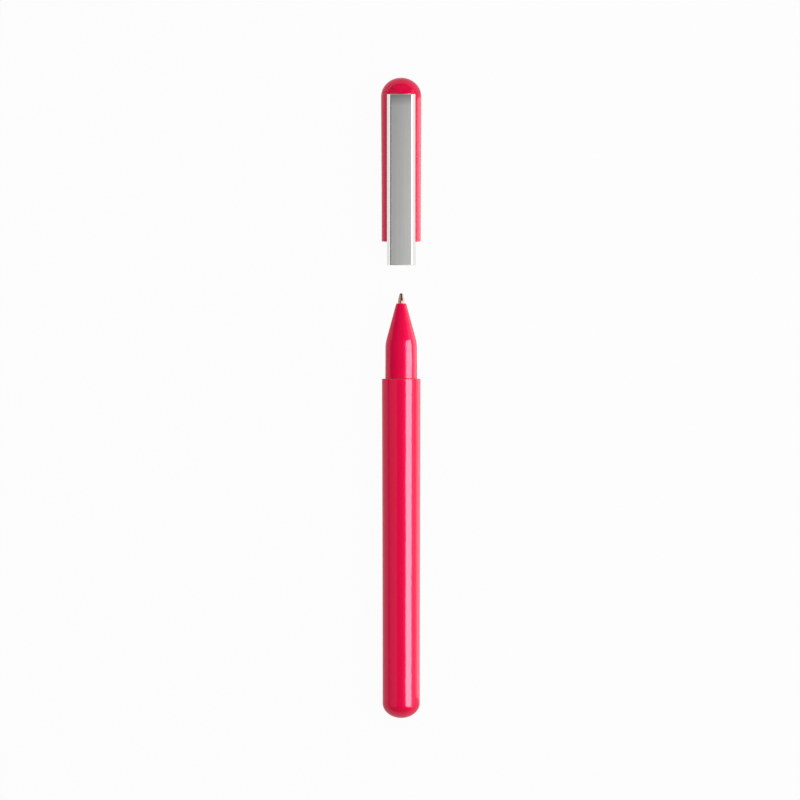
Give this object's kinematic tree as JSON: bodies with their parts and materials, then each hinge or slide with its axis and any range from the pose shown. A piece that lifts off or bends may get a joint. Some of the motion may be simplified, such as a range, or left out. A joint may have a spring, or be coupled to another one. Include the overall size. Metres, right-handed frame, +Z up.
{
  "type": "usb flash drive pen",
  "caption": "Slim capped ballpoint pen lying flat with its cap drawn off, a channel clip, and a small memory stick with a plug that pulls out of the cap's domed end.",
  "frame": {"origin": "middle of the pen's box, on the surface that it lies on", "axes": "+Y along the pen from its tail to the dome of its cap, +Z up through the face of the clip, +X to the right as the pen is seen in the picture"},
  "size_m": [0.0112, 0.1782, 0.0127],
  "materials": {
    "pink_lacquer": "glossy hot pink lacquer over thin metal",
    "brushed_steel": "face brushed lengthways, bends polished",
    "nickel_brass": "turned, bright",
    "polished_steel": "polished stainless steel",
    "white_plastic": "moulded, satin",
    "black_plastic": "moulded, satin",
    "board_green": "solder mask",
    "chip_black": "moulded package",
    "gold_plate": "gold plated",
    "tan_ceramic": "fired ceramic with tinned ends"
  },
  "bodies": {
    "barrel": {"barrel": "pink_lacquer", "thread_bush": "nickel_brass", "refill_seat": "white_plastic"},
    "refill": {"refill_tube": "nickel_brass", "tip_holder": "nickel_brass", "refill_tip": "nickel_brass"},
    "ball": {"writing_ball": "polished_steel"},
    "nose": {"nose_section": "pink_lacquer"},
    "cap": {"cap_sleeve": "pink_lacquer", "inner_cap": "white_plastic", "drive_guide": "black_plastic", "clip_bracket": "polished_steel", "clip_rivet_upper": "polished_steel", "clip_rivet_lower": "polished_steel"},
    "clip": {"clip": "brushed_steel"},
    "drive": {"drive_dome": "pink_lacquer", "dome_insert": "black_plastic", "drive_case_upper": "black_plastic", "drive_case_lower": "black_plastic", "circuit_board": "board_green", "memory_chip": "chip_black", "controller_chip": "chip_black", "capacitor_left": "tan_ceramic", "capacitor_right": "tan_ceramic", "plug_shell": "polished_steel", "plug_insulator": "black_plastic", "plug_contacts_upper": "gold_plate", "plug_contacts_lower": "gold_plate", "plug_latch": "polished_steel"}
  },
  "joints": [
    {"name": "refill_advance", "type": "slide", "parent": "barrel", "child": "refill", "axis": [0, 1, 0], "range_m": [0, 0.006]},
    {"name": "nose_turn", "type": "hinge", "parent": "refill", "child": "nose", "pos_m": [0, 0.0053, 0.0056], "axis": [0, 1, 0], "range_deg": [0, 2160]},
    {"name": "ball_roll", "type": "hinge", "parent": "refill", "child": "ball", "pos_m": [0, 0.02862, 0.0056], "axis": [1, 0, 0], "continuous": true},
    {"name": "cap_slide", "type": "slide", "parent": "refill", "child": "cap", "axis": [0, -1, 0], "range_m": [0, 0.03812]},
    {"name": "clip_flex", "type": "hinge", "parent": "cap", "child": "clip", "pos_m": [0, 0.0841, 0.0118], "axis": [-1, 0, 0], "range_deg": [0, 3], "stiffness_Nm_per_rad": 2.2},
    {"name": "drive_pull", "type": "slide", "parent": "cap", "child": "drive", "axis": [0, 1, 0], "range_m": [0, 0.017]}
  ],
  "couplings": [
    {"joint": "nose_turn", "follows": "refill_advance", "rad_per_m": 6283.2}
  ]
}
